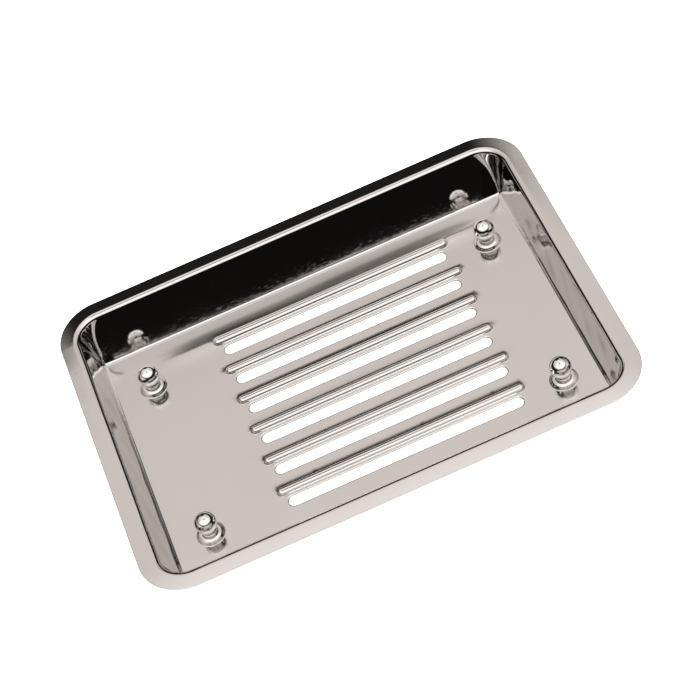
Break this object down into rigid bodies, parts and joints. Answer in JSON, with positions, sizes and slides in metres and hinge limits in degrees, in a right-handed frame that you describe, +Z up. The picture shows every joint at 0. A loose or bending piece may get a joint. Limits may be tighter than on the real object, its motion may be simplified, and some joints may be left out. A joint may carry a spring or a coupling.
{
  "type": "instrument tray",
  "caption": "Shallow rectangular pressed-steel tray with a flat rim, sloped walls, a ribbed and slotted floor, and upright ball pegs on round bosses near its corners.",
  "frame": {"origin": "middle of the footprint, on the plane the tray stands on", "axes": "+X along the long side toward the end the slots lie nearer to, +Y toward the back, away from the person using the tray, +Z up"},
  "size_m": [0.183, 0.14, 0.0181],
  "materials": {
    "tray_steel": "mirror-polished stainless sheet",
    "peg_steel": "mirror-polished stainless",
    "collar_steel": "polished stainless",
    "washer_steel": "turned stainless, dull"
  },
  "bodies": {
    "root": {"tray": "tray_steel", "peg_rear_left": "peg_steel", "peg_rear_right": "peg_steel", "peg_front_left": "peg_steel", "peg_front_right": "peg_steel", "collar_rear_left": "collar_steel", "collar_rear_right": "collar_steel", "collar_front_left": "collar_steel", "collar_front_right": "collar_steel", "washer_rear_left": "washer_steel", "washer_rear_right": "washer_steel", "washer_front_left": "washer_steel", "washer_front_right": "washer_steel"}
  },
  "joints": []
}
